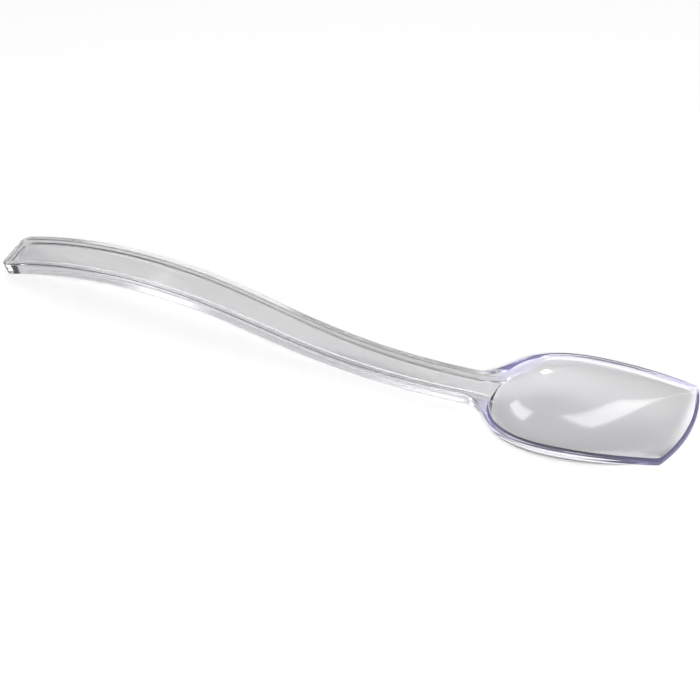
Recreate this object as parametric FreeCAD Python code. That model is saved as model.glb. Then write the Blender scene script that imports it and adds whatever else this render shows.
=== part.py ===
import FreeCAD, Part
import math
import os

# Serving scoop, one injection moulding in clear polycarbonate, lying on a table.
# +X runs along the scoop from the handle's end to the front lip, +Y is its left side, +Z is up.
# The origin is on the table, under the middle of the overall length. All sizes are millimetres.
# The moulding is written out as its own regions, which meet face to face and share no volume.

# Overall sizes
overall_length = 254.0        # handle's end to the middle of the front lip
bowl_length = 70.5            # along the rim plane, from the bowl's back to the middle of the lip
bowl_width = 48.0             # across the rim, at its widest
bowl_depth = 14.15            # rim plane down to the underside of the bowl
rim_tilt = 7.8                # degrees that the rim plane rises towards the lip

# Bowl
wall = 2.1                    # side and floor of the bowl
bowl_back_length = 29.3       # back of the bowl to its widest and deepest section
bowl_squareness = 0.12        # 0 is an ellipse in plan, more is squarer at the back corners
lip_width = 38.6              # between the lip's two corners
lip_bulge = 4.4               # how far the lip's middle stands in front of its corners
lip_land = 1.3                # flat top of the lip, front to back
lip_step = 0.4                # drop from that flat into the bowl
rim_height = 1.6              # upright edge all round the rim
foot_depth = 0.25             # taken off the underside to leave a flat to stand on

# Handle
handle_end_width = 17.2
handle_neck_width = 12.7
rail_height = 4.4             # full thickness of the handle at its raised edges
rail_width = 2.2
channel_depth_end = 1.7       # channel in the top of the handle, at its far end
channel_depth_neck = 2.4      # the same channel where it meets the bowl
corner_radius = 3.5           # corners of the handle's end, in plan
end_slope = 22.0              # degrees that the handle climbs from its end
shoulder_from_end = 82.0      # point where the handle's top begins to fall, and its height
shoulder_height = 14.9
waist_from_bowl = 62.0        # point where it begins to level out, and its height
waist_height = 8.8

# Neck
neck_length = 7.0             # straight run between the handle and the bowl's back
flare_angle = 40.0            # degrees round the bowl's back where the outer flare dies away
flare_sink = 0.3              # how far the flare's end runs inside the bowl's skin
channel_mouth_width = 11.6    # channel where it opens into the bowl
channel_mouth_reach = 3.0     # how far the channel's floor runs on over the bowl's hollow
channel_mouth_angle = 20.0    # how far its walls have turned outwards there

# How finely the bowl's surface is described
back_start_angle = 8.0
back_rows = 9
front_rows = 8
section_points = 17
lip_overrun = 0.4             # how far the surface is described in front of the lip
clear = 5.0                   # how far a cutting tool runs past what it cuts

lip_reach = bowl_length - bowl_back_length
tilt = math.radians(rim_tilt)
bowl_centre_x = overall_length / 2 - lip_reach * math.cos(tilt)
bowl_back_x = bowl_centre_x - bowl_back_length * math.cos(tilt)
neck_start = -bowl_back_length - neck_length


def vec(x, y, z):
    return FreeCAD.Vector(x, y, z)


def smooth_edge(points, start=None, end=None):
    curve = Part.BSplineCurve()
    if start is None:
        curve.interpolate(points)
    else:
        curve.interpolate(Points=points, InitialTangent=start, FinalTangent=end)
    return curve.toShape()


def line(start, end):
    return Part.LineSegment(start, end).toShape()


# The bowl's own frame has its origin in the rim plane over the deepest section, X towards the lip.

class Dish:
    """One skin of the bowl, moved in from the outer skin by inset."""

    def __init__(self, inset, lip_inset, lip_depth):
        self.back = bowl_back_length - inset
        self.half_width = bowl_width / 2 - inset
        self.depth = bowl_depth - inset
        self.lip_half_width = lip_width / 2 - inset
        self.lip_x = lip_reach - lip_inset
        self.lip_depth = lip_depth

    def back_station(self, angle):
        """Place, half width and depth of the section at an angle round the bowl's back."""
        s = math.sin(math.radians(angle))
        c = math.cos(math.radians(angle))
        swell = s * (1 + bowl_squareness * c * c)
        return -self.back * c * (1 + bowl_squareness * s * s), self.half_width * swell, self.depth * swell

    def front_station(self, x):
        narrowing = (self.half_width - self.lip_half_width) * (x / (lip_reach - lip_bulge)) ** 2
        rise = (self.depth - self.lip_depth) * (x / self.lip_x) ** 2
        return x, self.half_width - narrowing, self.depth - rise

    def stations(self):
        step = (90.0 - back_start_angle) / back_rows
        reach = self.lip_x + lip_overrun
        back = [self.back_station(back_start_angle + step * i) for i in range(back_rows)]
        front = [self.front_station(reach * i / front_rows) for i in range(front_rows + 1)]
        return back + front

    def back_point(self, angle, depth=0.0):
        x, b, p = self.back_station(angle)
        return vec(x, b * math.sqrt(1 - (depth / p) ** 2), -depth)

    def back_direction(self, angle):
        ahead = self.back_point(angle + 1) - self.back_point(angle - 1)
        return ahead.normalize()

    def skin(self):
        """The curved surface, one row of points for each section."""
        angles = [math.pi * (i / (section_points - 1) - 0.5) for i in range(section_points)]
        rows = []
        for x, b, p in self.stations():
            row = [vec(x, b * math.sin(a), -p * math.cos(a)) for a in angles]
            row[0].z = 0.0
            row[-1].z = 0.0
            rows.append(row)
        surface = Part.BSplineSurface()
        surface.interpolate(rows)
        return surface.toShape()

    def solid(self):
        """Everything between the skin and the rim plane, and the flat face that closes it on top."""
        skin = self.skin()
        ends = sorted(skin.Edges, key=lambda e: e.BoundBox.XLength)[:2]
        back, front = sorted(ends, key=lambda e: e.BoundBox.XMin)
        sides = [e for e in skin.Edges if not e.isSame(back) and not e.isSame(front)]
        back_top = line(back.Vertexes[0].Point, back.Vertexes[-1].Point)
        front_top = line(front.Vertexes[0].Point, front.Vertexes[-1].Point)
        top = Part.Face(Part.Wire(Part.__sortEdges__(sides + [back_top, front_top])))
        back_face = Part.Face(Part.Wire(Part.__sortEdges__([back, back_top])))
        front_face = Part.Face(Part.Wire(Part.__sortEdges__([front, front_top])))
        shell = Part.makeShell([skin, top, back_face, front_face])
        shell.sewShape()
        return Part.makeSolid(shell), top

    def lip_cylinder(self):
        """Everything behind the curved lip."""
        radius = lip_width ** 2 / 8 / lip_bulge + lip_bulge / 2
        middle = lip_reach - radius
        return Part.makeCylinder(self.lip_x - middle, 4 * bowl_depth, vec(middle, 0, -2 * bowl_depth))


def flared_plan(start, end, direction):
    """Closed plan of a strip whose left edge runs from start, straight ahead, to end in a direction."""
    left = smooth_edge([start, end], vec(1, 0, 0), direction)
    right = left.mirror(vec(0, 0, 0), vec(0, 1, 0))
    back = line(start, vec(start.x, -start.y, start.z))
    front = line(end, vec(end.x, -end.y, end.z))
    return Part.Wire(Part.__sortEdges__([back, left, front, right]))


outer = Dish(0.0, 0.0, rim_height)
inner = Dish(wall, lip_land, lip_step)


def bowl_hollow():
    body, top = inner.solid()
    return body.common(inner.lip_cylinder())


def bowl_skin():
    body, top = outer.solid()
    return body.common(outer.lip_cylinder())


def rim_plate():
    """Flat plate of the bowl's whole plan, as deep as the upright edge of the rim."""
    body, top = outer.solid()
    return top.extrude(vec(0, 0, -rim_height)).common(outer.lip_cylinder())


def neck_channel():
    """What the channel takes out of the neck and the bowl's back wall."""
    turn = math.radians(channel_mouth_angle)
    start = vec(neck_start, handle_neck_width / 2 - rail_width, -channel_depth_neck)
    end = vec(wall + channel_mouth_reach - bowl_back_length, channel_mouth_width / 2, -channel_depth_neck)
    plan = Part.Face(flared_plan(start, end, vec(math.cos(turn), math.sin(turn), 0)))
    return plan.extrude(vec(0, 0, channel_depth_neck + clear))


def neck_plan(depth):
    """Plan of the neck at a depth, from the handle's width out into the bowl's back."""
    start = vec(neck_start, handle_neck_width / 2, -depth)
    end = outer.back_point(flare_angle, depth) - vec(0, flare_sink, 0)
    return flared_plan(start, end, outer.back_direction(flare_angle))


def foot_cut(skin):
    """Block that trims the tilted bowl's lowest point to the table."""
    tilted = skin.copy()
    tilted.rotate(vec(0, 0, 0), vec(0, 1, 0), -rim_tilt)
    return tilted.optimalBoundingBox(False, False).ZMin + foot_depth


def to_table(shape, floor):
    """From the bowl's frame to the scoop's: tilt the rim plane and stand the foot on the table."""
    placed = shape.copy()
    placed.rotate(vec(0, 0, 0), vec(0, 1, 0), -rim_tilt)
    placed.translate(vec(bowl_centre_x, 0, -floor))
    return placed


def bowl_rim(hollow, channel):
    return rim_plate().cut(hollow).cut(channel)


def bowl_shell(skin, hollow, channel):
    below = Part.makeBox(4 * bowl_length, 2 * bowl_width, 2 * bowl_depth,
                         vec(-2 * bowl_length, -bowl_width, -2 * bowl_depth - rim_height))
    return skin.common(below).cut(hollow).cut(channel)


def neck(skin, channel):
    body = Part.makeLoft([neck_plan(0.0), neck_plan(rail_height)], True, True)
    return body.cut(skin).cut(rim_plate()).cut(channel)


# The handle is an S-shaped slab seen from the side, and a tapered strip with round corners in plan.

def handle_line(floor):
    """Middle line of the handle's top face, in the scoop's frame."""
    slope = math.radians(end_slope)
    neck_x = bowl_centre_x + neck_start * math.cos(tilt)
    neck_z = -floor + neck_start * math.sin(tilt)
    points = [
        vec(-overall_length / 2, 0, rail_height * math.cos(slope)),
        vec(-overall_length / 2 + shoulder_from_end, 0, shoulder_height),
        vec(bowl_back_x - waist_from_bowl, 0, waist_height),
        vec(neck_x, 0, neck_z),
    ]
    curve = Part.BSplineCurve()
    curve.interpolate(Points=points,
                      InitialTangent=vec(math.cos(slope), 0, math.sin(slope)),
                      FinalTangent=vec(math.cos(tilt), 0, math.sin(tilt)))
    return curve


def below_line(curve, depth_end, depth_neck, samples=12):
    """The handle's line moved square to itself, by a depth that may change along it."""
    points = []
    for i in range(samples + 1):
        t = i / samples
        at = curve.FirstParameter + t * (curve.LastParameter - curve.FirstParameter)
        place = curve.value(at)
        along = curve.tangent(at)[0]
        depth = depth_end + t * (depth_neck - depth_end)
        points.append(place + vec(along.z, 0, -along.x) * depth)
    return points


def side_slab(upper, lower):
    """Slab across the whole width between two lines of points."""
    edges = [smooth_edge(upper), line(upper[-1], lower[-1]), smooth_edge(lower), line(lower[0], upper[0])]
    face = Part.Face(Part.Wire(Part.__sortEdges__(edges)))
    face.translate(vec(0, -bowl_width, 0))
    return face.extrude(vec(0, 2 * bowl_width, 0))


def handle_plan(inset, neck_x):
    """Upright block of the handle's plan, moved in from its edges by inset."""
    start = -overall_length / 2 + inset
    finish = neck_x + clear
    taper = (handle_end_width - handle_neck_width) / 2 / (neck_x + overall_length / 2)
    half_start = handle_end_width / 2 - inset - taper * inset
    half_finish = handle_neck_width / 2 - inset - taper * clear
    corners = [vec(start, -half_start, 0), vec(finish, -half_finish, 0),
               vec(finish, half_finish, 0), vec(start, half_start, 0)]
    block = Part.Face(Part.makePolygon(corners + corners[:1]))
    block = block.extrude(vec(0, 0, overall_length))
    round_edges = [e for e in block.Edges if e.BoundBox.XMax < start + 0.01 and e.BoundBox.ZLength > 1]
    block = block.makeFillet(corner_radius - inset, round_edges)
    block.translate(vec(0, 0, -overall_length / 2))
    return block


def handle_parts(floor):
    curve = handle_line(floor)
    neck_x = curve.value(curve.LastParameter).x
    top = below_line(curve, 0.0, 0.0)
    channel_floor = below_line(curve, channel_depth_end, channel_depth_neck)
    bottom = below_line(curve, rail_height, rail_height)
    whole_plan = handle_plan(0.0, neck_x)
    channel_plan = handle_plan(rail_width, neck_x)
    web = side_slab(channel_floor, bottom).common(channel_plan)
    edges = side_slab(top, bottom).common(whole_plan).cut(channel_plan)
    end_x = -overall_length / 2 + corner_radius
    tall = overall_length
    end_block = Part.makeBox(clear + corner_radius, 2 * bowl_width, tall,
                             vec(-overall_length / 2 - clear, -bowl_width, -tall / 2))
    left_block = Part.makeBox(overall_length, bowl_width, tall, vec(end_x, 0, -tall / 2))
    right_block = Part.makeBox(overall_length, bowl_width, tall, vec(end_x, -bowl_width, -tall / 2))
    return {
        "handle_web": web,
        "handle_end": edges.common(end_block),
        "handle_left_rail": edges.common(left_block),
        "handle_right_rail": edges.common(right_block),
    }


def one_solid(shape):
    """The single solid of a boolean's result, with its seams tidied."""
    solids = shape.removeSplitter().Solids
    if len(solids) != 1:
        raise ValueError("a region came out in %d pieces" % len(solids))
    return solids[0]


def main():
    skin = bowl_skin()
    hollow = bowl_hollow()
    channel = neck_channel()
    floor = foot_cut(skin)
    table = Part.makeBox(2 * overall_length, 2 * bowl_width, 2 * bowl_depth,
                         vec(-overall_length, -bowl_width, -2 * bowl_depth))
    parts = {
        "bowl_rim": to_table(bowl_rim(hollow, channel), floor),
        "bowl_shell": to_table(bowl_shell(skin, hollow, channel), floor).cut(table),
        "neck": to_table(neck(skin, channel), floor),
    }
    parts.update(handle_parts(floor))
    os.makedirs("parts", exist_ok=True)
    for name, shape in parts.items():
        solid = one_solid(shape)
        solid.exportStep("parts/" + name + ".step")
        print(name, len(shape.Solids), solid.isValid(), round(solid.Volume, 1), solid.BoundBox)


main()
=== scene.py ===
import bpy
import math
import numpy as np
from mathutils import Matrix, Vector


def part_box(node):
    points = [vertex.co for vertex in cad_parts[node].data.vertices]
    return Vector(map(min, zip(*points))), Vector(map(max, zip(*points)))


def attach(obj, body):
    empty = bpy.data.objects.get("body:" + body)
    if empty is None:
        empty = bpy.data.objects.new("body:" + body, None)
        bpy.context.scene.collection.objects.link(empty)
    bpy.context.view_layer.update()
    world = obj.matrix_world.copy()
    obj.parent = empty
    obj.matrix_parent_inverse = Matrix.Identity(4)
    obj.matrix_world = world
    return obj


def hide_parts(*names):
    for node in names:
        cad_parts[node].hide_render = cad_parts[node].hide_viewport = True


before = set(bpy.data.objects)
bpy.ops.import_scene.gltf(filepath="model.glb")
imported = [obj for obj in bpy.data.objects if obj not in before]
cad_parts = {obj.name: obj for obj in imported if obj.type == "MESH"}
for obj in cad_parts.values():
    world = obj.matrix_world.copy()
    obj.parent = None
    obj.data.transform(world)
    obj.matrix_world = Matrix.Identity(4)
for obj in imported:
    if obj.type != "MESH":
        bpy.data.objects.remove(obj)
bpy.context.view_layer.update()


# ------------------------------------------------------------------------ The scoop
# A serving scoop in one piece: a shallow bowl with a flat, square-cornered lip, a neck, and a
# long S-curved handle whose channel opens into the bowl. It is clear polycarbonate, injection
# moulded in one shot. Nothing is fixed to it, and nothing on it moves.

# The bowl. Sizes are millimetres in the dish's own frame: the origin is in the rim plane over
# the deepest section, x runs towards the lip and z up, and rim_tilt lifts the plane at the lip.
MM = 0.001
rim_tilt = math.radians(7.8)
wall = 2.1
back_length = 29.3
half_width = 24.0
depth = 14.15
squareness = 0.12
lip_reach = 41.2
lip_bulge = 4.4
lip_half_width = 19.3
lip_land = 1.3
lip_step = 0.4
rim_height = 1.6
corner_x = lip_reach - lip_bulge
cos_tilt, sin_tilt = math.cos(rim_tilt), math.sin(rim_tilt)

rim_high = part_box("bowl_rim")[1]
rim_centre_height = rim_high[2] / MM - lip_reach * sin_tilt
rim_centre_x = rim_high[0] / MM - lip_reach * cos_tilt - rim_height * sin_tilt


def back_outline(angle, inset):
    """Point of the dish's plan at an angle (radians) round its back."""
    s, c = np.sin(angle), np.cos(angle)
    x = -(back_length - inset) * c * (1 + squareness * s * s)
    y = (half_width - inset) * s * (1 + squareness * c * c)
    return np.stack([x, y], axis=-1)


def side_outline(x, inset):
    """Point of the dish's plan on its side, which draws in a little towards the lip."""
    narrowing = (half_width - lip_half_width) * (x / corner_x) ** 2
    return np.stack([x, half_width - inset - narrowing], axis=-1)


def lip_outline(y, inset):
    """Point of the dish's plan on its lip, which is a shallow arc."""
    radius = (2 * lip_half_width) ** 2 / 8 / lip_bulge + lip_bulge / 2
    x = lip_reach - radius + np.sqrt((radius - inset) ** 2 - y * y)
    return np.stack([x, y], axis=-1)


def dish_depth(x, y, inset, lip_inset, lip_depth):
    """How far a skin of the dish lies under the rim plane, 0 outside its plan."""
    reach = back_length - inset
    ahead = np.clip(-x / reach, 0.0, 1.0)
    c = ahead.copy()
    for newton_step in range(5):
        slope = 1 + squareness - 3 * squareness * c * c
        c = c - (c * (1 + squareness) - squareness * c ** 3 - ahead) / slope
    c = np.clip(c, 0.0, 1.0)
    swell = np.sqrt(1 - c * c) * (1 + squareness * c * c)
    front = np.clip(x, 0.0, None)
    full_depth = depth - inset
    front_share = (front / (lip_reach - lip_inset)) ** 2
    front_width = half_width - inset - (half_width - lip_half_width) * (front / corner_x) ** 2
    front_depth = full_depth - (full_depth - lip_depth) * front_share
    width_here = np.where(x < 0, (half_width - inset) * swell, front_width)
    depth_here = np.where(x < 0, full_depth * swell, front_depth)
    inside = (x > -reach) & (width_here > 0.01)
    across = np.where(inside, np.abs(y) / np.maximum(width_here, 0.01), 1.0)
    bowed = np.maximum(depth_here, 0) * np.sqrt(np.clip(1 - across ** 2, 0, 1))
    return np.where(across < 1, bowed, 0.0)


def blended_max(a, b, reach):
    """The larger of two depths, with the crease between them rounded."""
    near = np.clip(reach - np.abs(a - b), 0, None) / reach
    return np.maximum(a, b) + near * near * reach / 4


# The handle and neck. A tapered channel section with a raised edge all round its top, bent to
# an S in side view. Its channel runs through the neck into the back of the bowl, and the
# outside of the neck flares out to the bowl's back.
end_half_width = 8.6
neck_half_width = 6.35
handle_thickness = 4.4
edge_width = 2.2
channel_end_depth = 1.7
channel_neck_depth = 2.4
corner_radius = 3.5
end_slope = math.radians(22.0)
shoulder = (82.0, 14.9)
waist = (62.0, 8.8)
neck_start = -back_length - 7.0
flare_angle = math.radians(40.0)
mouth_half_width = 5.8
mouth_reach = 3.0
mouth_turn = math.radians(20.0)
mouth_round = 1.4
lip_corner_cut = 0.7

tail_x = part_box("handle_end")[0][0] / MM


def hermite(a, a_way, b, b_way, t, span):
    """Points of the cubic that leaves a along a_way and arrives at b along b_way."""
    return ((2 * t ** 3 - 3 * t ** 2 + 1) * a + (t ** 3 - 2 * t ** 2 + t) * span * a_way
            + (3 * t ** 2 - 2 * t ** 3) * b + (t ** 3 - t ** 2) * span * b_way)


def clamped_spline(points, start, finish, samples=1600):
    """Smooth line through the points with given end directions, as close-set samples."""
    p = np.array(points, dtype=float)
    h = np.linalg.norm(np.diff(p, axis=0), axis=1)
    n = len(p)
    m = np.zeros((n, n))
    r = np.zeros((n, 2))
    m[0, 0] = m[-1, -1] = 1.0
    r[0], r[-1] = start, finish
    for i in range(1, n - 1):
        m[i, i - 1], m[i, i], m[i, i + 1] = h[i], 2 * (h[i - 1] + h[i]), h[i - 1]
        ahead, behind = h[i] / h[i - 1], h[i - 1] / h[i]
        r[i] = 3 * (ahead * (p[i] - p[i - 1]) + behind * (p[i + 1] - p[i]))
    way = np.linalg.solve(m, r)
    line = []
    for i in range(n - 1):
        t = np.linspace(0, 1, samples // (n - 1), endpoint=(i == n - 2))[:, None]
        line.append(hermite(p[i], way[i], p[i + 1], way[i + 1], t, h[i]))
    return np.concatenate(line)


def distance_along(line):
    return np.concatenate([[0], np.cumsum(np.linalg.norm(np.diff(line, axis=0), axis=1))])


neck_point = (rim_centre_x + neck_start * cos_tilt, rim_centre_height + neck_start * sin_tilt)
bowl_back_x = rim_centre_x - back_length * cos_tilt
top_line = clamped_spline([(tail_x, handle_thickness * math.cos(end_slope)),
                           (tail_x + shoulder[0], shoulder[1]),
                           (bowl_back_x - waist[0], waist[1]),
                           neck_point],
                          (math.cos(end_slope), math.sin(end_slope)), (cos_tilt, sin_tilt))
run = distance_along(top_line)
handle_run = run[-1]
line_way = np.gradient(top_line, run, axis=0)
line_way /= np.linalg.norm(line_way, axis=1)[:, None]


def laid_out(x):
    """Distance along the whole scoop, in the dish's frame, of a place on the handle's top."""
    return neck_start - handle_run + np.interp(x, top_line[:, 0], run)


def to_world(p):
    """From the laid-out scoop (distance along, across, height over the top) to its place."""
    x, y, z = p[..., 0], p[..., 1], p[..., 2]
    s = x - neck_start + handle_run
    line_x, line_z = np.interp(s, run, top_line[:, 0]), np.interp(s, run, top_line[:, 1])
    way_x, way_z = np.interp(s, run, line_way[:, 0]), np.interp(s, run, line_way[:, 1])
    on_handle = x < neck_start
    bowl_x = rim_centre_x + x * cos_tilt - z * sin_tilt
    bowl_z = rim_centre_height + x * sin_tilt + z * cos_tilt
    world_x = np.where(on_handle, line_x - way_z * z, bowl_x)
    world_z = np.where(on_handle, line_z + way_x * z, bowl_z)
    return np.stack([world_x, y, world_z], axis=-1)


def curve_between(a, a_way, b, b_way, count):
    """A smooth line from a to b with given directions at its ends."""
    a, b = np.array(a), np.array(b)
    t = np.linspace(0, 1, count)[:, None]
    return hermite(a, np.array(a_way), b, np.array(b_way), t, np.linalg.norm(b - a))


def respaced(line, count):
    """The same line with its points set out again by distance."""
    d = distance_along(line)
    at = np.linspace(0, 1, count) * d[-1]
    return np.stack([np.interp(at, d, line[:, 0]), np.interp(at, d, line[:, 1])], axis=-1)


def rounded_corner(before, corner, after, count):
    t = np.linspace(0, 1, count)[:, None]
    return (1 - t) ** 2 * before + 2 * t * (1 - t) * corner + t ** 2 * after


# How many stations each stretch of the outline has, on half of the scoop, and how many
# close-set samples the curves of the neck are first drawn with.
end_points, arc_points, straight_points = 6, 13, 100
channel_steps, corner_steps, hollow_steps = 20, 12, 22
back_points, side_points, lip_corner_points, lip_points = 30, 31, 7, 26
flare_samples, channel_samples, hollow_samples = 300, 400, 600


def half_handle_plan(inset, along):
    """End, round corner and side of the handle's plan, moved in by inset."""
    taper = (end_half_width - neck_half_width) / (neck_point[0] - tail_x)
    centre = np.array([tail_x + corner_radius, end_half_width - corner_radius])
    end = np.stack([np.full(end_points, tail_x + inset),
                    np.linspace(0, centre[1], end_points)], axis=-1)
    turn = np.linspace(0, math.pi / 2, arc_points)[1:]
    arc = centre + (corner_radius - inset) * np.stack([-np.cos(turn), np.sin(turn)], axis=-1)
    arc[:, 1] -= taper * corner_radius * np.sin(turn)
    side = np.stack([along, end_half_width - inset - taper * (along - tail_x)], axis=-1)
    plan = np.concatenate([end, arc, side[1:]])
    return np.stack([laid_out(plan[:, 0]), plan[:, 1]], axis=-1)


# The outline and the inner edge of the raised rim run round half of the scoop, side by side.
along = np.linspace(tail_x + corner_radius, neck_point[0], straight_points)
outer_line = [half_handle_plan(0.0, along)]
inner_line = [half_handle_plan(edge_width, along)]
handle_count = len(outer_line[0])

flare_end = back_outline(flare_angle, 0.0)
flare_way = back_outline(flare_angle + 0.01, 0.0) - flare_end
flare_way /= np.linalg.norm(flare_way)
flare = curve_between((neck_start, neck_half_width), (1, 0), flare_end, flare_way,
                      flare_samples)
channel_edge = curve_between((neck_start, neck_half_width - edge_width), (1, 0),
                             (wall + mouth_reach - back_length, mouth_half_width),
                             (math.cos(mouth_turn), math.sin(mouth_turn)), channel_samples)
hollow_back = back_outline(np.linspace(0.0, flare_angle, hollow_samples), wall)
gap = np.linalg.norm(channel_edge[:, None] - hollow_back[None], axis=2)
at_channel, at_hollow = np.unravel_index(np.argmin(gap), gap.shape)
mouth_corner = channel_edge[at_channel]
channel_side = channel_edge[:at_channel]
hollow_side = hollow_back[at_hollow + 1:]
channel_side = channel_side[np.linalg.norm(channel_side - mouth_corner, axis=1) > mouth_round]
hollow_side = hollow_side[np.linalg.norm(hollow_side - mouth_corner, axis=1) > mouth_round]
mouth_arc = rounded_corner(channel_side[-1], mouth_corner, hollow_side[0], corner_steps + 2)
inner_neck = np.concatenate([respaced(channel_side, channel_steps + 1), mouth_arc[1:-1],
                             respaced(hollow_side, hollow_steps + 1)])
neck_count = len(inner_neck)
inner_line.append(inner_neck[1:])
outer_line.append(respaced(flare, neck_count)[1:])

bowl_angles = np.linspace(flare_angle, math.pi / 2, back_points + 1)[1:]
side_parts = np.linspace(0, 1, side_points + 2)[1:-1] * corner_x
lip_parts = np.linspace(1, 0, lip_points + 1)[1:]
for line, inset, lip_inset in ((outer_line, 0.0, 0.0), (inner_line, wall, lip_land)):
    corner_half = lip_half_width - inset
    corner = np.array([lip_outline(corner_half, lip_inset)[0], corner_half])
    before = side_outline(corner[0] - lip_corner_cut, inset)
    after = lip_outline(corner_half - lip_corner_cut, lip_inset)
    line.append(back_outline(bowl_angles, inset))
    line.append(side_outline(side_parts * (before[0] / corner_x), inset))
    line.append(rounded_corner(before, corner, after, lip_corner_points))
    line.append(lip_outline(after[1] * lip_parts, lip_inset))
outline = np.concatenate(outer_line)
inner_edge = np.concatenate(inner_line)
count = len(outline)

# Stations where the outline changes.
end_of_arc = end_points + arc_points - 1
square_from = end_of_arc + 14
mouth_from = handle_count + channel_steps
mouth_to = mouth_from + corner_steps
back_from = handle_count + neck_count - 1
side_from = back_from + back_points
side_end = side_from + side_points
station = np.arange(count)


def inward(line):
    """Unit directions square to a line, pointing to the middle of the scoop."""
    way = np.gradient(line, axis=0)
    way /= np.linalg.norm(way, axis=1)[:, None]
    square = np.stack([way[:, 1], -way[:, 0]], axis=-1)
    square[0] = (1, 0)
    square[-1] = (-1, 0)
    return square


def middle_line_ends(line, places, square_to):
    """Where the row from each station ends on the middle line. Straight rows keep their x."""
    d = distance_along(line)
    x = np.interp(d, [d[at] for at, place in places], [place for at, place in places])
    straight = (station > square_from) & (station < square_to)
    x[straight] = line[straight, 0]
    return np.stack([x, np.zeros(count)], axis=-1)


# Each pair is a station, and the x on the middle line that its row ends at.
top_middle = middle_line_ends(inner_edge, [
    (0, inner_edge[0, 0] + 2.0), (end_of_arc, inner_edge[end_of_arc, 0] + 6.0),
    (square_from, inner_edge[square_from, 0]), (mouth_from, inner_edge[mouth_from, 0]),
    (mouth_to, inner_edge[mouth_to, 0] + 1.5), (back_from, -13.0), (side_from, 4.0),
    (side_end + 3, 28.0), (count - 1, 33.0)], mouth_from)
under_middle = middle_line_ends(outline, [
    (0, outline[0, 0] + 5.0), (end_of_arc, outline[end_of_arc, 0] + 5.0),
    (square_from, outline[square_from, 0]), (handle_count - 1, outline[handle_count - 1, 0]),
    (mouth_to, -26.0), (back_from, -14.0), (side_from, 3.0),
    (side_end + 3, 28.0), (count - 1, 34.0)], handle_count)
edge_crowding = 0.45


def row_points(edge, square, middle, near, far_count, curl):
    """Points from the edge to the middle line: near ones at set distances, the rest spread."""
    length = np.linalg.norm(middle - edge, axis=1)[:, None]
    first = near[None, :] / length
    even = np.linspace(0, 1, far_count + 1)[1:]
    crowded = np.sin(np.linspace(0, math.pi / 2, far_count + 1)[1:] - math.pi / 2) + 1
    spread = edge_crowding * crowded + (1 - edge_crowding) * even
    rest = first[:, -1:] + (1 - first[:, -1:]) * spread
    f = np.concatenate([first, rest], axis=1)[..., None]
    bend = (edge + middle) / 2 + (square * length - (middle - edge)) * 0.5 * curl[:, None]
    p = (1 - f) ** 2 * edge[:, None] + 2 * f * (1 - f) * bend[:, None] + f ** 2 * middle[:, None]
    p[:, -1, 1] = 0.0
    return p, f[..., 0] * length


# The top: the channel's floor and sides, running through the mouth into the bowl's hollow.
inner_round = np.interp(station, [handle_count - 1, mouth_to], [0.25, 0.4])
outer_round = np.interp(station, [end_of_arc, square_from, handle_count - 1, back_from],
                        [0.5, 0.6, 0.6, 0.4])
floor_round = 0.9
mouth_blend = 0.7
mouth_fade, mouth_fade_end = 9.0, mouth_to + 5
near_top = np.array([0.02, 0.06, 0.12, 0.2, 0.3, 0.42, 0.56, 0.72, 0.95, 1.3])
far_top = 22
curl = np.interp(station, [end_of_arc + 10, end_of_arc + 20, mouth_from, mouth_to,
                           back_from + 10, side_end - 20],
                 [0.0, 1.0, 1.0, 0.35, 0.25, 0.0])
top_plan, top_far = row_points(inner_edge, inward(inner_edge), top_middle, near_top, far_top,
                               curl)
x, y = top_plan[..., 0], top_plan[..., 1]
along_part = np.clip((x - (neck_start - handle_run)) / handle_run, 0, 1)
channel_depth = channel_end_depth + (channel_neck_depth - channel_end_depth) * along_part
channel_line = inner_edge[end_of_arc:mouth_from]
from_side = np.interp(x, channel_line[:, 0], channel_line[:, 1]) - y
from_end = x - inner_edge[0, 0]
turn_in = corner_radius - edge_width
in_corner = (from_side < turn_in) & (from_end < turn_in)
from_wall = np.where(in_corner, turn_in - np.hypot(turn_in - from_side, turn_in - from_end),
                     np.minimum(from_side, from_end))
from_wall = np.where((station < mouth_from)[:, None], from_wall, top_far)
lift = np.clip(floor_round - from_wall, 0, floor_round)
fillet = floor_round - np.sqrt(np.clip(floor_round ** 2 - lift ** 2, 0, None))
fade = np.clip((mouth_fade_end - station) / mouth_fade, 0, 1)[:, None]
fade = fade * fade * (3 - 2 * fade)
hollow = dish_depth(x, y, wall, lip_land, lip_step)
top_depth = blended_max((channel_depth - fillet) * fade, hollow, mouth_blend)
top_depth = np.maximum(top_depth, inner_round[:, None])
top_rows = np.concatenate([top_plan, -top_depth[..., None]], axis=-1)[:, ::-1]

# The raised rim's top and its two rounded edges, from the inner edge out to the outline.
across = outline - inner_edge
inner_share = inner_round / np.abs((across * inward(inner_edge)).sum(axis=1))
outer_share = outer_round / np.abs((across * inward(outline)).sum(axis=1))
inner_part = np.clip(inner_share, 0, 0.46)
outer_part = np.clip(outer_share, 0, 0.5)
turns = np.linspace(0, math.pi / 2, 8)
rim_rows = []


def rim_row(part, drop):
    place = inner_edge + across * part[:, None]
    rim_rows.append(np.concatenate([place, -drop[:, None]], axis=1))


for a in turns:
    rim_row(inner_part * (1 - math.cos(a)), inner_round * (1 - math.sin(a)))
for step in (0.08, 0.5, 0.92):
    rim_row(inner_part + (1 - outer_part - inner_part) * step, 0 * inner_round)
for a in turns:
    rim_row(1 - outer_part * (1 - math.sin(a)), outer_round * (1 - math.cos(a)))

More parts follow.
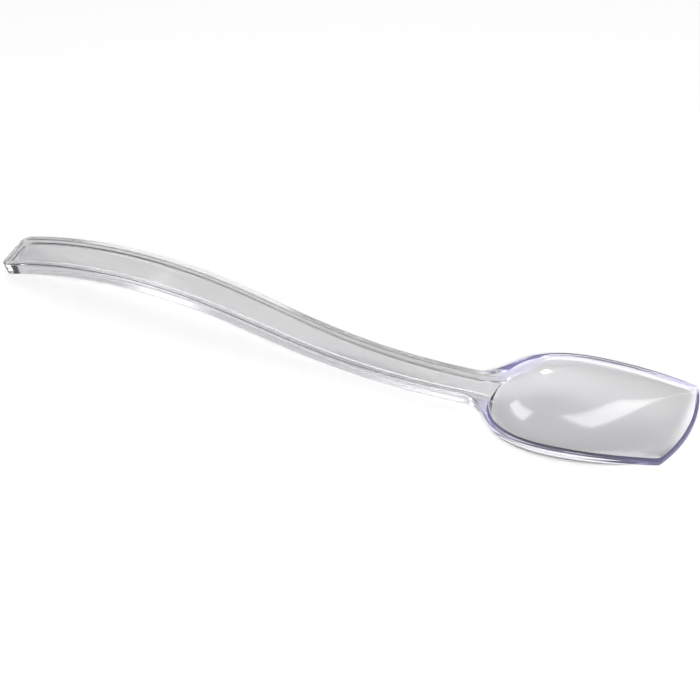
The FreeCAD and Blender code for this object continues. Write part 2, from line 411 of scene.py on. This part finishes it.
# The upright side: the handle's full thickness along handle and neck, then only the bowl's
# rim. Under the flare its lower edge pulls in, where the flare dies into the bowl's skin.
foot_handle, foot_bowl, foot_change = 0.35, 0.15, 30.0
side_change = 12.0
shrink = np.clip((station - back_from) / side_change, 0, 1)
shrink = shrink * shrink * (3 - 2 * shrink)
side_depth = handle_thickness + (rim_height - handle_thickness) * shrink
along_foot = np.clip((station - handle_count) / foot_change, 0, 1)
foot_round = foot_handle + (foot_bowl - foot_handle) * along_foot
low_line = outline.copy()
skin_full = dish_depth(outline[:, 0], np.zeros(count), 0.0, 0.0, rim_height)
pull = np.sqrt(np.clip(1 - (side_depth / np.maximum(skin_full, side_depth)) ** 2, 0, 1))
flare_last = back_from - 1
low_line[flare_last:, 1] *= (pull + (1 - pull) * shrink)[flare_last:]
low_way = low_line[back_from] - low_line[flare_last]
low_way /= np.linalg.norm(low_way)
low_flare = curve_between((neck_start, neck_half_width), (1, 0), low_line[flare_last], low_way,
                          flare_samples)
low_line[handle_count:back_from] = respaced(low_flare, neck_count)[1:]
side_rows = []
for part in (0.05, 0.35, 0.65, 0.95):
    z = -(outer_round + (side_depth - foot_round - outer_round) * part)
    plan = outline + (low_line - outline) * part
    side_rows.append(np.concatenate([plan, z[:, None]], axis=1))
square_low = inward(low_line)
for a in turns:
    z = -(side_depth - foot_round * (1 - math.sin(a)))
    plan = low_line + square_low * (foot_round * (1 - math.cos(a)))[:, None]
    side_rows.append(np.concatenate([plan, z[:, None]], axis=1))

# The underside: flat across the handle, swelling into the bowl's outer skin.
near_under = np.array([0.95, 1.15, 1.4, 1.75])
far_under = 26
under_blend, blend_from, blend_over = 0.8, 0.3, 2.0
under_plan, under_far = row_points(low_line, square_low, under_middle, near_under, far_under,
                                   curl)
skin = dish_depth(under_plan[..., 0], under_plan[..., 1], 0.0, 0.0, rim_height)
side_everywhere = np.broadcast_to(side_depth[:, None], skin.shape)
off_edge = np.clip((under_far - blend_from) / blend_over, 0, 1)
deeper = np.maximum(side_everywhere, skin)
under_depth = deeper + (blended_max(side_everywhere, skin, under_blend) - deeper) * off_edge
under_rows = np.concatenate([under_plan, -under_depth[..., None]], axis=-1)

# All rows in one grid, put in place. Where the scoop stands, its skin is rounded off to z 0.
foot_flat = 0.08
grid = np.concatenate([top_rows, np.stack(rim_rows, axis=1), np.stack(side_rows, axis=1),
                       under_rows], axis=1)
grid[0, :, 1] = 0.0
grid[-1, :, 1] = 0.0
placed = to_world(grid)
placed[..., 2] = blended_max(placed[..., 2], 0.0, foot_flat)
rows = placed.shape[1]

# One half is mirrored across the middle plane, and the two share the points that lie on it.
number = np.arange(count * rows).reshape(count, rows)
on_middle = np.zeros((count, rows), bool)
on_middle[0] = on_middle[-1] = True
on_middle[:, 0] = on_middle[:, -1] = True
other = number.copy()
other[~on_middle] = count * rows + np.arange((~on_middle).sum())
mirrored = placed[~on_middle] * np.array([1, -1, 1])
points = np.concatenate([placed.reshape(-1, 3), mirrored]) * MM
quads = np.concatenate([
    np.stack([number[:-1, :-1], number[1:, :-1], number[1:, 1:], number[:-1, 1:]], axis=-1),
    np.stack([other[:-1, :-1], other[:-1, 1:], other[1:, 1:], other[1:, :-1]], axis=-1),
]).reshape(-1, 4)

# Faces point outwards: turned round where the enclosed volume comes out negative.
p0, p1, p2, p3 = (points[quads[:, k]] for k in range(4))
six_volumes = (np.einsum("ij,ij->i", p0, np.cross(p1, p2))
               + np.einsum("ij,ij->i", p0, np.cross(p2, p3))).sum()
if six_volumes < 0:
    quads = quads[:, ::-1]
moulding_mesh = bpy.data.meshes.new("scoop_moulding")
moulding_mesh.from_pydata(points.tolist(), [], quads.tolist())
moulding_mesh.validate()
moulding_mesh.shade_smooth()
moulding = bpy.data.objects.new("scoop_moulding", moulding_mesh)
bpy.context.scene.collection.objects.link(moulding)
weighted = moulding.modifiers.new("weighted_normals", "WEIGHTED_NORMAL")
weighted.mode = "FACE_AREA"

# Painted light and shade on the bowl's rim. There a violet base colour is painted shade and a
# violet emission is a painted glow, standing in for the violet that light picks up on long paths
# inside the
# rim: most at the neck's flare and at the lip, less along the sides, and not on the handle.
painted_violet_share = np.interp(station,
                       [mouth_from, mouth_to, back_from, back_from + 18, side_end - 18, side_end],
                       [0.0, 1.0, 1.0, 0.3, 0.3, 1.0])[:, None]
first_rim = top_rows.shape[1]
last_side = first_rim + len(rim_rows) + len(side_rows)
on_rim = np.zeros(rows)
on_rim[first_rim + 1:last_side] = 1.0
painted_rim_violet_mask = (painted_violet_share * on_rim).reshape(-1)
both_halves = np.concatenate([painted_rim_violet_mask, painted_rim_violet_mask[~on_middle.reshape(-1)]])
painted_violet_layer = moulding_mesh.attributes.new("painted_rim_violet_mask", "FLOAT", "POINT")
painted_violet_layer.data.foreach_set("value", both_halves.astype(np.float32))


class Strand:
    """A shader socket that can be written into arithmetic."""

    def __init__(self, nodes, socket):
        self.nodes, self.socket = nodes, socket

    def combined(self, operation, first, second):
        return self.nodes.add("ShaderNodeMath", {"operation": operation}, {0: first, 1: second})

    def __add__(self, other):
        return self.combined("ADD", self, other)

    def __mul__(self, other):
        return self.combined("MULTIPLY", self, other)

    def __sub__(self, other):
        return self.combined("SUBTRACT", self, other)

    def __rsub__(self, other):
        return self.combined("SUBTRACT", other, self)

    __radd__ = __add__
    __rmul__ = __mul__


class Finish:
    """The node tree of a finish or of the studio, filled one node at a time."""

    def __init__(self, tree):
        self.tree = tree

    def add(self, kind, settings=None, sockets=None, out=0):
        node = self.tree.nodes.new(kind)
        for name, value in (settings or {}).items():
            setattr(node, name, value)
        for name, value in (sockets or {}).items():
            if isinstance(value, Strand):
                self.tree.links.new(value.socket, node.inputs[name])
            else:
                node.inputs[name].default_value = value
        return Strand(self, node.outputs[out])

    def feed(self, strand, node_name, socket):
        self.tree.links.new(strand.socket, self.tree.nodes[node_name].inputs[socket])


# The clear plastic. It has a slight moulding ripple, a haze of wear, and hair scratches along
# the scoop. Its depth has a faint cool tint, given per metre.
clear_body = (0.985, 0.985, 0.99, 1)
# On the bowl's rim the base colour is a painted violet shade and the emission is a painted violet
# glow.
painted_rim_shade = (0.88, 0.87, 0.95, 1)
no_glow = (0.0, 0.0, 0.0, 1)
painted_rim_glow = (0.095, 0.090, 0.18, 1)
depth_tint, tint_density = (0.79, 0.785, 0.90, 1), 20.0
refraction = 1.585
base_roughness, haze_roughness, scratch_roughness = 0.085, 0.04, 0.12
ripple_size, ripple_strength, ripple_height = 70.0, 0.5, 0.00005
haze_size = 38.0
along_scoop = (60.0, 1400.0, 700.0)
scratch_depth = 0.03

clear = bpy.data.materials.new("clear_polycarbonate")
clear.use_nodes = True
shader = clear.node_tree.nodes["Principled BSDF"]
shader.inputs["Transmission Weight"].default_value = 1.0
shader.inputs["IOR"].default_value = refraction
# Emission at full strength lets the painted violet glow on the rim show.
shader.inputs["Emission Strength"].default_value = 1.0
finish = Finish(clear.node_tree)
where = finish.add("ShaderNodeTexCoord", out=3)
ripple = finish.add("ShaderNodeTexNoise",
                    sockets={"Vector": where, "Scale": ripple_size, "Detail": 1.0})
haze = finish.add("ShaderNodeTexNoise",
                  sockets={"Vector": where, "Scale": haze_size, "Detail": 4.0})
stretched = finish.add("ShaderNodeVectorMath", {"operation": "MULTIPLY"},
                       {0: where, 1: along_scoop})
hairs = finish.add("ShaderNodeTexNoise",
                   sockets={"Vector": stretched, "Scale": 1.0, "Detail": 2.0})
worn = finish.add("ShaderNodeMapRange", {"interpolation_type": "SMOOTHSTEP"},
                  {"Value": haze, "From Min": 0.45, "From Max": 0.7,
                   "To Min": 0.0, "To Max": 1.0})
scratch = finish.add("ShaderNodeMapRange", {"interpolation_type": "SMOOTHSTEP"},
                     {"Value": hairs, "From Min": 0.66, "From Max": 0.74,
                      "To Min": 0.0, "To Max": 1.0}) * worn
finish.feed(base_roughness + worn * haze_roughness + scratch * scratch_roughness,
            "Principled BSDF", "Roughness")
waves = finish.add("ShaderNodeBump",
                   sockets={"Strength": ripple_strength, "Distance": ripple_height,
                            "Height": ripple - scratch * scratch_depth})
finish.feed(waves, "Principled BSDF", "Normal")
# The rim mask mixes in the painted violet shade as base colour and the painted violet glow as
# emission.
painted_violet_weight = finish.add("ShaderNodeAttribute", {"attribute_name": "painted_rim_violet_mask"}, out=2)
body_colour_with_painted_shade = finish.add("ShaderNodeMix", {"data_type": "RGBA"},
                    {0: painted_violet_weight, 6: clear_body, 7: painted_rim_shade}, out=2)
finish.feed(body_colour_with_painted_shade, "Principled BSDF", "Base Color")
painted_glow_mix = finish.add("ShaderNodeMix", {"data_type": "RGBA"},
                  {0: painted_violet_weight, 6: no_glow, 7: painted_rim_glow}, out=2)
finish.feed(painted_glow_mix, "Principled BSDF", "Emission Color")
body_tint = finish.add("ShaderNodeVolumeAbsorption",
                       sockets={"Color": depth_tint, "Density": tint_density})
finish.feed(body_tint, "Material Output", "Volume")
moulding_mesh.materials.append(clear)

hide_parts("bowl_rim", "bowl_shell", "neck", "handle_web", "handle_end",
            "handle_left_rail", "handle_right_rail")
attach(moulding, "root")


# ------------------------------------------------------------------------ Table, light and camera
# A plain pale table, in a pale studio that is brighter on the far side of the scoop. Two
# softboxes behind the scoop mirror in its bowl, and one lamp on the near side lights the table.
table_half = 3.0
table_sink = 0.0001    # keeps the table clear of the feet, where contact renders black
table_grey = (0.675, 0.675, 0.675, 1)
table_roughness = 0.7

table_mesh = bpy.data.meshes.new("table_top")
table_mesh.from_pydata([(-table_half, -table_half, -table_sink),
                        (table_half, -table_half, -table_sink),
                        (table_half, table_half, -table_sink),
                        (-table_half, table_half, -table_sink)], [], [(0, 1, 2, 3)])
table = bpy.data.objects.new("table_top", table_mesh)
bpy.context.scene.collection.objects.link(table)
paint = bpy.data.materials.new("pale_table")
paint.use_nodes = True
paint_shader = paint.node_tree.nodes["Principled BSDF"]
paint_shader.inputs["Base Color"].default_value = table_grey
paint_shader.inputs["Roughness"].default_value = table_roughness
table_mesh.materials.append(paint)

bright_side = (-0.42, 0.91, 0.0)
near_level, far_level = 0.36, 0.63
world = bpy.data.worlds.new("studio")
bpy.context.scene.world = world
world.use_nodes = True
studio = Finish(world.node_tree)
way_out = studio.add("ShaderNodeTexCoord")
toward = studio.add("ShaderNodeVectorMath", {"operation": "DOT_PRODUCT"},
                    {0: way_out, 1: bright_side}, out=1)
level = studio.add("ShaderNodeMapRange",
                   sockets={"Value": toward, "From Min": -0.8, "From Max": 0.5,
                            "To Min": near_level, "To Max": far_level})
studio.feed(level, "Background", "Strength")
world.node_tree.nodes["Background"].inputs["Color"].default_value = (1, 1, 1, 1)


def soft_light(name, azimuth, elevation, distance, width, height, radiance,
               mirrored=True, on_table=0.0):
    """A softbox facing the scoop, placed by its direction from the scoop in degrees."""
    lamp = bpy.data.lights.new(name, "AREA")
    lamp.shape = "RECTANGLE"
    lamp.size, lamp.size_y = width, height
    lamp.energy = radiance * math.pi * width * height
    lamp.cycles.use_multiple_importance_sampling = mirrored
    lamp.diffuse_factor = on_table
    holder = bpy.data.objects.new(name, lamp)
    holder.visible_glossy = mirrored
    bpy.context.scene.collection.objects.link(holder)
    a, e = math.radians(azimuth), math.radians(elevation)
    way = Vector((math.cos(e) * math.cos(a), math.cos(e) * math.sin(a), math.sin(e)))
    holder.location = Vector((0.04, 0.0, 0.0)) + way * distance
    holder.rotation_euler = (-way).to_track_quat("-Z", "Y").to_euler()


soft_light("window_box", 73.0, 49.0, 1.2, width=0.62, height=0.34, radiance=3.0)
soft_light("long_box", 150.0, 50.0, 1.2, width=0.80, height=0.34, radiance=2.8)
soft_light("key_box", -65.3, 42.7, 1.5, width=0.2, height=0.2, radiance=245.0,
           mirrored=False, on_table=1.0)

lens = bpy.data.cameras.new("camera")
lens.sensor_width = 36.0
lens.lens = 127.54
eye = Vector((0.2646, -0.5631, 0.5786))
aim = Vector((0.00604, 0.0, 0.00683))
camera = bpy.data.objects.new("camera", lens)
bpy.context.scene.collection.objects.link(camera)
camera.location = eye
camera.rotation_euler = (aim - eye).to_track_quat("-Z", "Y").to_euler()
bpy.context.scene.camera = camera
bpy.context.scene.view_settings.view_transform = "Standard"
bpy.context.scene.cycles.max_bounces = 32
bpy.context.scene.cycles.transmission_bounces = 32
